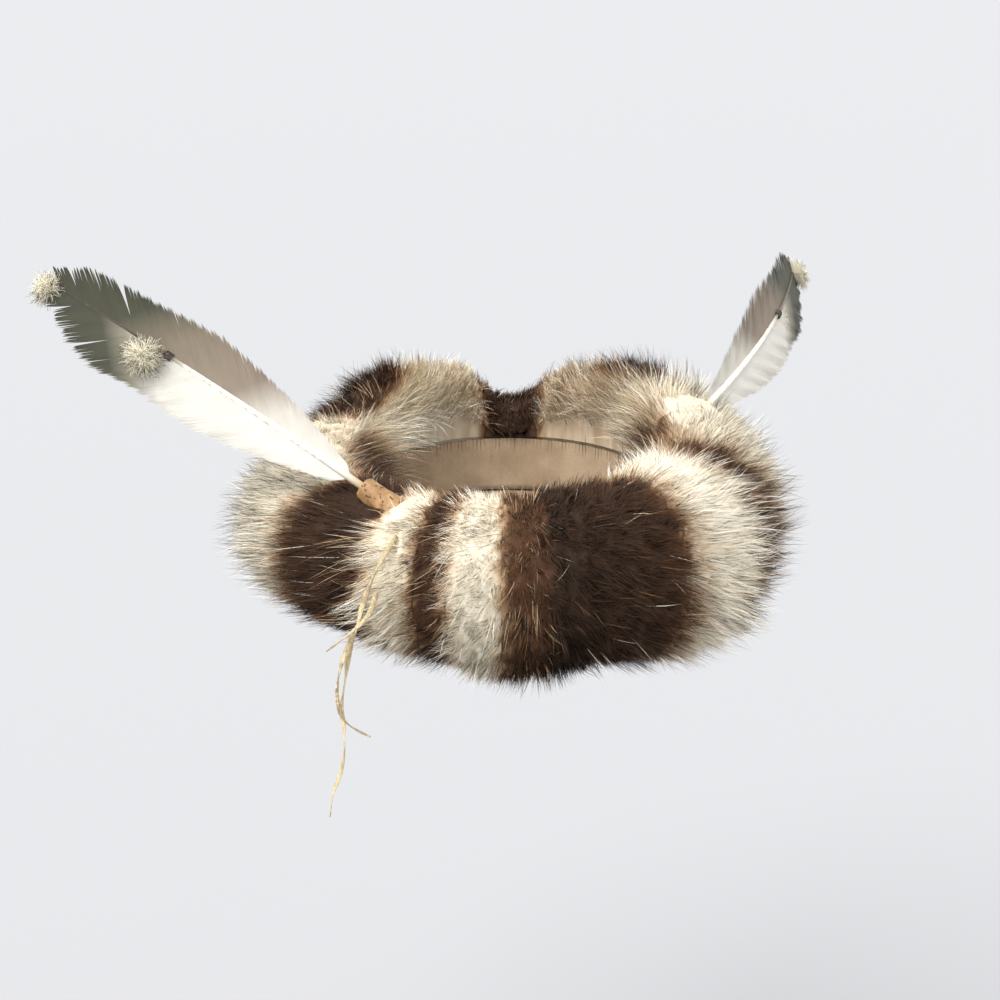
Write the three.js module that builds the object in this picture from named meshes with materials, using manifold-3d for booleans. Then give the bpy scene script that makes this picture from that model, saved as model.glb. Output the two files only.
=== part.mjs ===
// A fur headdress: a band of hide folded double into a ring, covered in strips of deep fur,
// with two bone sockets that each hold a long feather, and ties of raffia below one of them.
// Millimetres, +Z up. +X is the side of the second feather and -Y the side of the ties.
// The origin is the middle of the head opening, where the headdress sits on the head.

import * as THREE from 'three';
import { mergeVertices } from 'three/addons/utils/BufferGeometryUtils.js';
import Module from 'manifold-3d';

const wasm = await Module();
wasm.setup();

// ---------------------------------------------------------------- driving dimensions

const GAP = 0.3;                     // kept between neighbouring pieces
const DEGREE = Math.PI / 180;

const OPENING_HALF_WIDTH = 86;       // head opening inside the hide, along X
const OPENING_HALF_DEPTH = 98;       // and along Y
const BAND_THICKNESS = 7.6;          // folded hide, from the head outwards
const BAND_HALF_HEIGHT = 25;
const BAND_MIDDLE = 2.5;             // mean height of the band's middle
const BAND_BACK_RISE = 7.5;          // how much higher the back lies, and how much lower the front
const BAND_SQUARENESS = 3;           // exponent of the section's rounded outline
const BAND_STEPS = 32;               // round the ring
const HIDE_WALL = 2;
const SECTION_FROM = -147;           // the hide's two edges along the seam that stays a little
const SECTION_STEP = 29.5;           // open, in degrees of the section from outwards, up positive
const SECTION_STEPS = 12;

const FUR_FROM = SECTION_FROM + SECTION_STEP;       // the fur's two edges in the section
const FUR_TO = SECTION_FROM + 10 * SECTION_STEP;
const FUR_FIT = 0.7;                 // between hide and pelt, at their corners
const FUR_MIDDLE = 12;               // middle of the hair's outline, out from the head opening
const FUR_INSIDE = 9;                // hair that hangs in over the head opening's edge
const FUR_SQUARENESS = 2.3;
const STRIP_GAP = 0.12;              // degrees that a strip stays short of its edges
const LOCKS_OVER = 10;               // locks of hair from the fur's lower edge to its upper edge
const LOCK_TIP = 1.03;               // shares of the hair's length
const LOCK_SIDE = 0.83;
const LOCK_CORNER = 0.72;
const FUR_EDGE = 0.3;
const LOCK_LEAN = 0.28;              // how far a lock's tip leans round the ring and over it, as
const LOCK_LIFT = 0.6;               // shares of the spacing of the locks
const LOCK_VARIES = 0.05;            // and how much its length varies

const BORE_RADIUS = 3.1;             // sockets
const SOCKET_SIDES = 14;
const SOCKET_LIP = 1.5;              // how far the mouth's worn rim stands out
const SOCKET_OVER_QUILL = 15;        // length of quill inside the socket
// A socket's outside, by the depth from its mouth.
const SOCKET_OUTSIDE = [
  { depth: -SOCKET_LIP, radius: 6 },
  { depth: 0, radius: 6.7 },
  { depth: 12, radius: 6.9 },
  { depth: 26, radius: 7.4 },
  { depth: 28.5, radius: 6.9 },
  { depth: 30, radius: 5.7 },
];
const SOCKET_LENGTH = SOCKET_OUTSIDE.at(-1).depth;
const SOCKET_RADIUS = Math.max(...SOCKET_OUTSIDE.map((row) => row.radius));

const FEATHER_LENGTH = 200;          // from the socket's mouth to the tip
const FEATHER_BOW = 13;              // how far the shaft bows out of a straight line
const QUILL_RADIUS = 2.35;
const SHAFT_TIP_RADIUS = 0.5;
const SHAFT_TO = 194;                // where the shaft ends in the last barbs
const SHAFT_STEPS = 12;
const VANE_THICKNESS = 0.9;
const WRAP_AT = 123;                 // thread wrap, along the feather from the socket's mouth
const WRAP_LENGTH = 5;
const WRAP_RADIUS = 2.5;

const RAFFIA_RADIUS = 1.5;
const RAFFIA_SIDES = 8;
const RAFFIA_STEP = 9;               // between two sections along a tie

// The hair tips' heights above and below the middle plane and their reach out from the head
// opening, by direction in degrees from +X towards +Y. The back is high beside a dip.
const FUR_FORM = [
  { at: 0, top: 58, bottom: -42, reach: 70 },
  { at: 22, top: 72, bottom: -42, reach: 70 },
  { at: 47, top: 80, bottom: -45, reach: 68 },
  { at: 68, top: 72, bottom: -45, reach: 66 },
  { at: 90, top: 50, bottom: -45, reach: 64 },
  { at: 110, top: 74, bottom: -45, reach: 66 },
  { at: 130, top: 78, bottom: -44, reach: 68 },
  { at: 152, top: 58, bottom: -42, reach: 69 },
  { at: 180, top: 42, bottom: -39, reach: 70 },
  { at: 212, top: 42, bottom: -36, reach: 68 },
  { at: 245, top: 43, bottom: -46, reach: 67 },
  { at: 270, top: 45, bottom: -57, reach: 69 },
  { at: 295, top: 48, bottom: -50, reach: 69 },
  { at: 333, top: 54, bottom: -60, reach: 70 },
];

// Strips of pelt round the ring, each up to the next one's edge, and the locks along each.
const FUR_STRIPS = [
  { name: 'fur_right_cream', from: 349, locks: 2, colour: 'cream' },
  { name: 'fur_back_right_cream', from: 12, locks: 3, colour: 'cream' },
  { name: 'fur_back_right_brown', from: 35, locks: 2, colour: 'brown' },
  { name: 'fur_back_right_grey', from: 54, locks: 3, colour: 'grey' },
  { name: 'fur_back_brown', from: 79, locks: 2, colour: 'brown' },
  { name: 'fur_back_left_cream', from: 100, locks: 2, colour: 'cream' },
  { name: 'fur_back_left_brown', from: 120, locks: 4, colour: 'brown' },
  { name: 'fur_left_cream', from: 158, locks: 5, colour: 'grey' },
  { name: 'fur_front_left_brown', from: 211, locks: 3, colour: 'brown' },
  { name: 'fur_front_cream_stripe', from: 237, locks: 1, colour: 'cream' },
  { name: 'fur_front_dark_stripe', from: 249, locks: 1, colour: 'brown' },
  { name: 'fur_front_cream', from: 256, locks: 1, colour: 'cream' },
  { name: 'fur_front_brown', from: 268, locks: 5, colour: 'brown' },
  { name: 'fur_front_right_cream', from: 311, locks: 2, colour: 'cream' },
  { name: 'fur_right_brown', from: 333, locks: 2, colour: 'brown' },
];

// The feather's two vanes, as the width from shaft to edge, along the feather from the mouth.
const VANES = [
  { at: 8, upper: 5, lower: 7 },
  { at: 25, upper: 12, lower: 15 },
  { at: 42, upper: 18, lower: 22 },
  { at: 62, upper: 22, lower: 26 },
  { at: 80, upper: 25, lower: 27 },
  { at: 105, upper: 23, lower: 25 },
  { at: 125, upper: 21, lower: 28 },
  { at: 145, upper: 20, lower: 24 },
  { at: 165, upper: 18, lower: 17 },
  { at: 190, upper: 8, lower: 7 },
];
const BARB_LOCKS = 12;               // locks of barbs along each vane
const BARB_SWEEP = 1.1;              // how far a barb runs forwards for each mm outwards
const VANE_CUP = 0.0022;             // depth of the vane's hollow, per mm of width squared
const VANE_FROM = 10;                // where the vanes begin and end along the feather
const VANE_TO = 192;
const VANE_EDGE_THICKNESS = 0.6;
const BARBS_PAST_TIP = 4;            // how far the last barbs reach past the tip
const LOCK_TAPER = 0.94;             // a lock's far corner, as a share of its near one's width
const LOCK_PART = 0.4;               // half the space between two locks
const SPLIT_DEPTH = 0.75;            // share of the vane's width that a wide split reaches in
// The locks after which a vane is split, and how wide each split is at the edge.
const UPPER_SPLITS = { 8: 4, 11: 3 };
const LOWER_SPLITS = { 8: 3, 10: 5, 11: 4 };

// Each feather's place: the middle of its socket's mouth, its tip, and the side that its
// down tufts are on. The two are a pair, one from each wing.
const FEATHERS = {
  left: {
    mouth: new THREE.Vector3(-77, -96, 43),
    tip: new THREE.Vector3(-238, -84, 149),
    front: new THREE.Vector3(0, -1, 0.1),
    upperSide: new THREE.Vector3(0, 0, 1),
  },
  right: {
    mouth: new THREE.Vector3(108, 38, 54),
    tip: new THREE.Vector3(178, 213, 109),
    front: new THREE.Vector3(-0.82, 0.5, -0.3),
    upperSide: new THREE.Vector3(0, 0, 1),
  },
};

// Tufts of down, by their middle in the feather's frame and their half sizes.
const DOWN_TUFTS = [
  { name: 'down_middle', along: 136, out: -7, front: 5, length: 13, width: 12, depth: 7 },
  { name: 'down_tip', along: 197, out: -4, front: -2, length: 9, width: 11, depth: 7 },
];
const DOWN_LOCKS = 5;
const DOWN_LOCK_BASE = 0.34;         // half width of a lock at its root, as a share of the tuft's
const DOWN_LOCK_ROOT = 0.15;         // how far out from the middle its root is
const DOWN_LOCK_TURN = 0.3;          // how far it strays round and along the feather, in radians
const DOWN_LOCK_PITCH = 0.9;
// The tuft's head, as shares of its half sizes along the feather and across.
const DOWN_HEAD = [
  { along: -0.5, radius: 0.35 },
  { along: 0, radius: 0.6 },
  { along: 0.5, radius: 0.35 },
];

// The ties' routes, from where each leaves its neighbour down to its free end.
const RAFFIA_ROUTES = {
  raffia_long: [
    [-59, -135, 27], [-68, -146, 15], [-76, -152, -4], [-80, -153, -19], [-84, -152, -33],
    [-86, -151, -46], [-88, -150, -60], [-87, -150, -73], [-87, -150, -85], [-89, -150, -97],
    [-93, -150, -108], [-95, -150, -121],
  ],
  raffia_side: [
    [-81, -157, -19], [-87, -156, -34], [-90, -155, -49], [-89, -155, -60], [-86, -154.5, -67],
    [-80, -154, -72], [-73, -153, -76],
  ],
  raffia_short: [
    [-69, -155, 2], [-73, -159, -8], [-81, -161, -16], [-88, -160, -22], [-95, -158, -28],
  ],
};

// ---------------------------------------------------------------- materials

const COLOURS = { cream: 0xd8ccb0, brown: 0x3f2e22, grey: 0xb4aa92 };

function material(name, colour, roughness) {
  return new THREE.MeshStandardMaterial({ name, color: colour, roughness, metalness: 0 });
}

const MATERIALS = {
  hide: material('hide', 0xc9b08a, 0.85),
  bone: material('bone', 0x8d6a42, 0.6),
  feather: material('feather', 0xe6e2d6, 0.6),
  down: material('down', 0xf0e8cc, 0.95),
  thread: material('thread', 0x2e2a26, 0.8),
  raffia: material('raffia', 0xd8c69c, 0.8),
  cream: material('cream_fur', COLOURS.cream, 0.9),
  brown: material('brown_fur', COLOURS.brown, 0.9),
  grey: material('grey_fur', COLOURS.grey, 0.9),
};

// ---------------------------------------------------------------- solids and meshes

const headdress = new THREE.Group();
headdress.name = 'headdress';

function toSolid(geometry) {
  const plain = geometry.clone();
  plain.deleteAttribute('normal');
  plain.deleteAttribute('uv');
  const merged = mergeVertices(plain, 1e-4);
  return new wasm.Manifold(new wasm.Mesh({
    numProp: 3,
    vertProperties: new Float32Array(merged.attributes.position.array),
    triVerts: new Uint32Array(merged.index.array),
  }));
}

function add(name, solid, finish) {
  const mesh = solid.getMesh();
  const geometry = new THREE.BufferGeometry();
  geometry.setAttribute('position', new THREE.BufferAttribute(mesh.vertProperties, 3));
  geometry.setIndex(new THREE.BufferAttribute(mesh.triVerts, 1));
  geometry.computeVertexNormals();
  const piece = new THREE.Mesh(geometry, finish);
  piece.name = name;
  headdress.add(piece);
}

// A body skinned over rings of points. It closes on itself, or ends in flat caps, or ends in
// a point. The outline gives the caps' shape where they aren't convex.
function skin(rings, { closed = false, apex = null, outline = null } = {}) {
  const count = rings[0].length;
  const points = rings.flat();
  const faces = [];
  const lastBand = closed ? rings.length : rings.length - 1;
  for (let i = 0; i < lastBand; i++) {
    const here = i * count;
    const there = ((i + 1) % rings.length) * count;
    for (let k = 0; k < count; k++) {
      const next = (k + 1) % count;
      faces.push([here + k, here + next, there + next], [here + k, there + next, there + k]);
    }
  }
  const fan = Array.from({ length: count - 2 }, (_, k) => [0, k + 1, k + 2]);
  const cap = outline ? THREE.ShapeUtils.triangulateShape(outline, []) : fan;
  const end = (rings.length - 1) * count;
  if (!closed) {
    cap.forEach(([a, b, c]) => faces.push([a, c, b]));
  }
  if (apex) {
    points.push(apex);
    for (let k = 0; k < count; k++) {
      faces.push([end + k, end + ((k + 1) % count), points.length - 1]);
    }
  } else if (!closed) {
    cap.forEach(([a, b, c]) => faces.push([end + a, end + b, end + c]));
  }
  const geometry = new THREE.BufferGeometry().setFromPoints(points);
  geometry.setIndex(turnedOutwards(points, faces).flat());
  return toSolid(geometry);
}

function turnedOutwards(points, faces) {
  const volume = faces.reduce((sum, [a, b, c]) => {
    const cross = new THREE.Vector3().crossVectors(points[b], points[c]);
    return sum + points[a].dot(cross);
  }, 0);
  return volume > 0 ? faces : faces.map(([a, b, c]) => [a, c, b]);
}

// The biggest of the bodies that a cut leaves.
function largest(solid) {
  return solid.decompose().reduce((most, other) => (other.volume() > most.volume() ? other : most));
}

// A repeatable number from -1 to 1 for each piece and purpose.
const SEEDS_A_STRIP = 1000;

function vary(index, purpose) {
  const wave = Math.sin(index * 12.9898 + purpose * 78.233) * 43758.5453;
  return 2 * (wave - Math.floor(wave)) - 1;
}

function range(count) {
  return Array.from({ length: count }, (_, i) => i);
}

// ---------------------------------------------------------------- the ring and its section

function formAt(degrees) {
  const turn = ((degrees % 360) + 360) % 360;
  const after = FUR_FORM.findIndex((row) => row.at > turn);
  const b = after < 0 ? { ...FUR_FORM[0], at: 360 } : FUR_FORM[after];
  const a = FUR_FORM[after < 0 ? FUR_FORM.length - 1 : after - 1];
  const share = (turn - a.at) / (b.at - a.at);
  const ease = share * share * (3 - 2 * share);
  const between = (key) => THREE.MathUtils.lerp(a[key], b[key], ease);
  return { top: between('top'), bottom: between('bottom'), reach: between('reach') };
}

function ringPoint(degrees, { x, y }) {
  const angle = degrees * DEGREE;
  return new THREE.Vector3(
    (OPENING_HALF_WIDTH + x) * Math.cos(angle),
    (OPENING_HALF_DEPTH + x) * Math.sin(angle),
    y,
  );
}

// A point of a rounded outline in the section, as the distance outwards and the height.
function onOutline(sectionDegrees, squareness, middle, { outwards, inwards, up, down }) {
  const c = Math.cos(sectionDegrees * DEGREE);
  const s = Math.sin(sectionDegrees * DEGREE);
  const rounded = (x) => Math.sign(x) * Math.abs(x) ** (2 / squareness);
  return new THREE.Vector2(
    middle.x + (c > 0 ? outwards : inwards) * rounded(c),
    middle.y + (s > 0 ? up : down) * rounded(s),
  );
}

// The folded band's outline, moved outwards by a margin.
function bandPoint(ringDegrees, sectionDegrees, margin = 0) {
  const rise = BAND_BACK_RISE * Math.sin(ringDegrees * DEGREE);
  const middle = new THREE.Vector2(BAND_THICKNESS / 2, BAND_MIDDLE + rise);
  const width = BAND_THICKNESS / 2 + margin;
  const height = BAND_HALF_HEIGHT + margin;
  const half = { outwards: width, inwards: width, up: height, down: height };
  return onOutline(sectionDegrees, BAND_SQUARENESS, middle, half);
}

// A point of the fur at a share of the hair's length: 0 is at the hide and 1 at the hair tips.
function furPoint(ringDegrees, sectionDegrees, share) {
  const { top, bottom, reach } = formAt(ringDegrees);
  const middle = new THREE.Vector2(FUR_MIDDLE, (top + bottom) / 2);
  const half = {
    outwards: reach - FUR_MIDDLE,
    inwards: FUR_MIDDLE + FUR_INSIDE,
    up: (top - bottom) / 2,
    down: (top - bottom) / 2,
  };
  const tip = onOutline(sectionDegrees, FUR_SQUARENESS, middle, half);
  return bandPoint(ringDegrees, sectionDegrees).lerp(tip, share);
}

function hideBand() {
  const angles = range(SECTION_STEPS + 1).map((k) => SECTION_FROM + k * SECTION_STEP);
  const rings = range(BAND_STEPS).map((i) => {
    const degrees = (i * 360) / BAND_STEPS;
    const outside = angles.map((a) => bandPoint(degrees, a));
    const inside = angles.map((a) => bandPoint(degrees, a, -HIDE_WALL)).reverse();
    return [...outside, ...inside].map((p) => ringPoint(degrees, p));
  });
  return skin(rings, { closed: true });
}

// ---------------------------------------------------------------- fur

// One section through a strip: the hair's surface from edge to edge, and back along the hide.
// Odd columns and rows pass over the middles of the locks, which lean a little each way.
function furSection({ from, spacing, column, inset, seed }) {
  const degrees = from + (column * spacing) / 2 + inset;
  const rows = 2 * LOCKS_OVER;
  const rowStep = (FUR_TO - FUR_FROM) / rows;
  const hair = range(rows + 1).map((row) => {
    const index = seed + column * (rows + 1) + row;
    const sectionDegrees = FUR_FROM + row * rowStep;
    const varied = 1 + LOCK_VARIES * vary(index, 1);
    if (row === 0 || row === rows) {
      return ringPoint(degrees, furPoint(degrees, sectionDegrees, FUR_EDGE));
    }
    if (column % 2 === 0 || row % 2 === 0) {
      const share = column % 2 !== row % 2 ? LOCK_SIDE : LOCK_CORNER;
      return ringPoint(degrees, furPoint(degrees, sectionDegrees, share * varied));
    }
    const leaning = degrees + LOCK_LEAN * spacing * vary(index, 2);
    const lifted = sectionDegrees + LOCK_LIFT * rowStep * vary(index, 3);
    return ringPoint(leaning, furPoint(leaning, lifted, LOCK_TIP * varied));
  });
  const steps = Math.round((FUR_TO - FUR_FROM) / SECTION_STEP);
  const hide = range(steps + 1).map((k) => (
    ringPoint(degrees, bandPoint(degrees, FUR_TO - k * SECTION_STEP, FUR_FIT))
  ));
  return [...hair, ...hide];
}

function furStrip({ from, locks }, index, keepClear) {
  const next = FUR_STRIPS[(index + 1) % FUR_STRIPS.length];
  const spacing = ((next.from - from + 360) % 360) / locks;
  const last = 2 * locks;
  const seed = SEEDS_A_STRIP * index;
  const rings = range(last + 1).map((column) => {
    const inset = { 0: STRIP_GAP, [last]: -STRIP_GAP }[column] ?? 0;
    return furSection({ from, spacing, column, inset, seed });
  });
  const outline = rings[0].map((p) => new THREE.Vector2(Math.hypot(p.x, p.y), p.z));
  const fur = skin(rings, { outline });
  return largest(keepClear.reduce((solid, other) => solid.subtract(other), fur));
}

// ---------------------------------------------------------------- sockets and feathers

// A frame along a feather: x runs from the socket's mouth to the tip, y to the upper vane,
// and z to the side that the down tufts are on.
function featherFrame({ mouth, tip, front, upperSide }) {
  const x = tip.clone().sub(mouth).normalize();
  const z = front.clone().addScaledVector(x, -front.dot(x)).normalize();
  const y = new THREE.Vector3().crossVectors(z, x);
  if (y.dot(upperSide) < 0) {
    y.negate();
  }
  return { mouth, x, y, z };
}

// A point of the feather: along it, out to a vane, and in front of the shaft. The shaft bows
// backwards and each vane is hollow in front.
function featherPoint(frame, along, out, front) {
  const share = along / FEATHER_LENGTH;
  const bow = -4 * FEATHER_BOW * share * (1 - share);
  const cup = VANE_CUP * out * out;
  return frame.mouth.clone()
    .addScaledVector(frame.x, along)
    .addScaledVector(frame.y, out)
    .addScaledVector(frame.z, bow + cup + front);
}

function shaftRadius(along) {
  const share = THREE.MathUtils.clamp(along / FEATHER_LENGTH, 0, 1);
  return THREE.MathUtils.lerp(QUILL_RADIUS, SHAFT_TIP_RADIUS, share);
}

function rod(frame, from, to, steps, radiusAt, sides = 6) {
  const rings = range(steps + 1).map((i) => {
    const along = THREE.MathUtils.lerp(from, to, i / steps);
    return range(sides).map((k) => {
      const angle = (2 * Math.PI * k) / sides;
      const radius = radiusAt(along);
      const out = radius * Math.cos(angle);
      const front = radius * Math.sin(angle) - VANE_CUP * out * out;
      return featherPoint(frame, along, out, front);
    });
  });
  return skin(rings);
}

function vaneWidth(along, side) {
  const after = VANES.findIndex((row) => row.at > along);
  const b = after < 0 ? VANES[VANES.length - 1] : VANES[after];
  const a = after <= 0 ? VANES[0] : VANES[after - 1];
  const share = b === a ? 0 : (along - a.at) / (b.at - a.at);
  return THREE.MathUtils.lerp(a[side], b[side], THREE.MathUtils.clamp(share, 0, 1));
}

// One vane: locks of barbs that leave the shaft slanting forwards and part at their ends.
function vane(frame, side, splits, margin = 0) {
  const sign = side === 'upper' ? 1 : -1;
  const pitch = (VANE_TO - VANE_FROM) / BARB_LOCKS;
  const barb = (along, width, shift) => {
    const run = Math.min(BARB_SWEEP * width, FEATHER_LENGTH + BARBS_PAST_TIP - along);
    const point = (share, half) => (
      featherPoint(frame, along + share * run + share * shift, sign * share * width, half)
    );
    const shaft = VANE_THICKNESS / 2 + margin;
    const edge = VANE_EDGE_THICKNESS / 2 + margin;
    return [point(0, shaft), point(1, edge), point(1, -edge), point(0, -shaft)];
  };
  const rings = range(BARB_LOCKS).flatMap((i) => {
    const start = VANE_FROM + i * pitch;
    const end = start + pitch;
    const width = vaneWidth(end, side) * (1 + LOCK_VARIES * vary(i, sign));
    const opened = (splits[i] ?? 0) / 2;
    const closing = (splits[i + 1] ?? 0) / 2;
    const lock = [
      barb(start + LOCK_PART, width, opened),
      barb(end - LOCK_PART, width * LOCK_TAPER, -closing),
    ];
    return closing ? [...lock, barb(end, width * (1 - SPLIT_DEPTH), 0)] : lock;
  });
  return skin(rings);
}

function feather(frame) {
  const wrapRoom = rod(
    frame, WRAP_AT - GAP, WRAP_AT + WRAP_LENGTH + GAP, 1, () => WRAP_RADIUS + 2 * GAP,
  );
  const vanes = vane(frame, 'upper', UPPER_SPLITS).add(vane(frame, 'lower', LOWER_SPLITS));
  const shaft = rod(frame, -SOCKET_OVER_QUILL, SHAFT_TO, SHAFT_STEPS, shaftRadius);
  return vanes.subtract(wrapRoom).add(shaft);
}

// The feather with its thread wrap and a gap all round, which other pieces stay out of.
function featherRoom(frame) {
  return vane(frame, 'upper', UPPER_SPLITS, GAP)
    .add(vane(frame, 'lower', LOWER_SPLITS, GAP))
    .add(rod(frame, -GAP, FEATHER_LENGTH, SHAFT_STEPS, (at) => shaftRadius(at) + GAP))
    .add(rod(frame, WRAP_AT - GAP, WRAP_AT + WRAP_LENGTH + GAP, 1, () => WRAP_RADIUS + GAP));
}

function socketAxis(frame) {
  const mouth = featherPoint(frame, 0, 0, 0);
  const inside = featherPoint(frame, -SOCKET_OVER_QUILL, 0, 0);
  return { mouth, direction: inside.sub(mouth).normalize() };
}

// A solid turned about the socket's axis, from a closed profile of radius and depth.
function turned(frame, profile) {
  const { mouth, direction } = socketAxis(frame);
  const points = profile.map(([radius, depth]) => new THREE.Vector2(radius, depth));
  const body = new THREE.LatheGeometry(points, SOCKET_SIDES);
  const turn = new THREE.Quaternion().setFromUnitVectors(new THREE.Vector3(0, 1, 0), direction);
  body.applyQuaternion(turn);
  body.translate(mouth.x, mouth.y, mouth.z);
  return toSolid(body);
}

// Bone tube, swollen towards its buried end, with a bore for the quill.
function socket(frame) {
  const outside = SOCKET_OUTSIDE.map(({ radius, depth }) => [radius, depth]);
  const mouth = [BORE_RADIUS, -SOCKET_LIP];
  return turned(frame, [mouth, ...outside, [BORE_RADIUS, SOCKET_LENGTH], mouth]);
}

function socketClearance(frame) {
  const r = SOCKET_RADIUS + 2 * GAP;
  const from = -2 * SOCKET_LIP - GAP;
  const to = SOCKET_LENGTH + GAP;
  return turned(frame, [[0, from], [r, from], [r, to], [0, to]]);
}

// ---------------------------------------------------------------- down tufts and thread wraps

// A small head with soft locks all round it, clear of the feather that it is tied to.
function down(frame, { along, out, front, length, width, depth }, seed) {
  const at = (x, y, z) => (
    featherPoint(frame, along + x * length, out + y * width, front + z * depth)
  );
  const head = skin(DOWN_HEAD.map((row) => range(6).map((k) => {
    const angle = (2 * Math.PI * k) / 6;
    return at(row.along, row.radius * Math.cos(angle), row.radius * Math.sin(angle));
  })));
  const locks = range(DOWN_LOCKS).map((i) => {
    const turn = (2 * Math.PI * i) / DOWN_LOCKS + DOWN_LOCK_TURN * vary(seed + i, 1);
    const pitch = DOWN_LOCK_PITCH * vary(seed + i, 2);
    const x = Math.sin(pitch);
    const y = Math.cos(pitch) * Math.cos(turn);
    const z = Math.cos(pitch) * Math.sin(turn);
    const across = frame.x.clone().multiplyScalar(DOWN_LOCK_BASE * length);
    const aside = new THREE.Vector3().crossVectors(at(x, y, z).sub(at(0, 0, 0)), frame.x);
    aside.normalize().multiplyScalar(DOWN_LOCK_BASE * width);
    const root = at(DOWN_LOCK_ROOT * x, DOWN_LOCK_ROOT * y, DOWN_LOCK_ROOT * z);
    const base = [across, aside, across.clone().negate(), aside.clone().negate()];
    return skin([base.map((corner) => corner.clone().add(root))], { apex: at(x, y, z) });
  });
  return largest(wasm.Manifold.union([head, ...locks]).subtract(featherRoom(frame)));
}

function wrap(frame) {
  const to = WRAP_AT + WRAP_LENGTH;
  const shell = rod(frame, WRAP_AT, to, 1, () => WRAP_RADIUS);
  const bore = rod(frame, WRAP_AT - 1, to + 1, 1, (at) => shaftRadius(at) + 2 * GAP);
  return shell.subtract(bore);
}

// ---------------------------------------------------------------- raffia ties

function raffia(route, radius) {
  const curve = new THREE.CatmullRomCurve3(route.map((p) => new THREE.Vector3(...p)));
  const section = new THREE.Shape(range(RAFFIA_SIDES).map((k) => {
    const angle = (2 * Math.PI * k) / RAFFIA_SIDES;
    return new THREE.Vector2(radius * Math.cos(angle), radius * Math.sin(angle));
  }));
  const steps = Math.round(curve.getLength() / RAFFIA_STEP);
  const tube = new THREE.ExtrudeGeometry(section, { steps, extrudePath: curve, bevelEnabled: false });
  return toSolid(tube);
}

// ---------------------------------------------------------------- assembly

const frames = {
  left: featherFrame(FEATHERS.left),
  right: featherFrame(FEATHERS.right),
};

// What the fur makes room for.
const keepClear = [];
for (const frame of Object.values(frames)) {
  keepClear.push(socketClearance(frame));
  keepClear.push(featherRoom(frame));
}
for (const route of Object.values(RAFFIA_ROUTES)) {
  keepClear.push(raffia(route, RAFFIA_RADIUS + GAP));
}

add('hide_band', hideBand(), MATERIALS.hide);
FUR_STRIPS.forEach((strip, index) => {
  add(strip.name, furStrip(strip, index, keepClear), MATERIALS[strip.colour]);
});
for (const side of ['left', 'right']) {
  const frame = frames[side];
  add(`socket_${side}`, socket(frame), MATERIALS.bone);
  add(`feather_${side}`, feather(frame), MATERIALS.feather);
  add(`wrap_${side}`, wrap(frame), MATERIALS.thread);
  DOWN_TUFTS.forEach((tuft, index) => {
    add(`${tuft.name}_${side}`, down(frame, tuft, DOWN_LOCKS * index), MATERIALS.down);
  });
}
for (const [name, route] of Object.entries(RAFFIA_ROUTES)) {
  add(name, raffia(route, RAFFIA_RADIUS), MATERIALS.raffia);
}

export default headdress;
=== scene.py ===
import math

import bmesh
import bpy
import numpy as np
from mathutils import Matrix, Vector


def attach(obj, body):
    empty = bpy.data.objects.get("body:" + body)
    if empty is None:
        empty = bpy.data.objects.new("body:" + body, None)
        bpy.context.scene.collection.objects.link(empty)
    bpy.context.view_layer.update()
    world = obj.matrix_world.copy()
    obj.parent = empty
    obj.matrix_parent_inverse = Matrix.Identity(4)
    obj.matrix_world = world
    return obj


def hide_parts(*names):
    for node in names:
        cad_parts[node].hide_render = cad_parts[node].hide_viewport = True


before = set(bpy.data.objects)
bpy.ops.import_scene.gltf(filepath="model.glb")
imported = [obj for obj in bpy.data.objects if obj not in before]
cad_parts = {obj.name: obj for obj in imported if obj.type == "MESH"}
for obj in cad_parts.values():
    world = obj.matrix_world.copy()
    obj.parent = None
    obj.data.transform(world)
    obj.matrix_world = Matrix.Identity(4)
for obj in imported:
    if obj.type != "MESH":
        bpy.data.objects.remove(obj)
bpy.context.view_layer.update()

# ------------------------------------------------------------------------------ camera
# The headdress is seen level with its front and a little from above, at the height where
# somebody facing its wearer would look.
CAMERA_ELEVATION = math.radians(14)
CAMERA_DISTANCE = 1.6
CAMERA_FIELD = 0.566                 # width of the view at that distance
CAMERA_TARGET = Vector((-0.0057, 0.003, 0.0121))

camera_data = bpy.data.cameras.new("camera")
camera_data.sensor_width = 36
camera_data.lens = camera_data.sensor_width * CAMERA_DISTANCE / CAMERA_FIELD
camera = bpy.data.objects.new("camera", camera_data)
looking = Vector((0, math.cos(CAMERA_ELEVATION), -math.sin(CAMERA_ELEVATION)))
camera.location = CAMERA_TARGET - CAMERA_DISTANCE * looking
camera.rotation_euler = (math.pi / 2 - CAMERA_ELEVATION, 0, 0)
bpy.context.scene.collection.objects.link(camera)
bpy.context.scene.camera = camera

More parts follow.
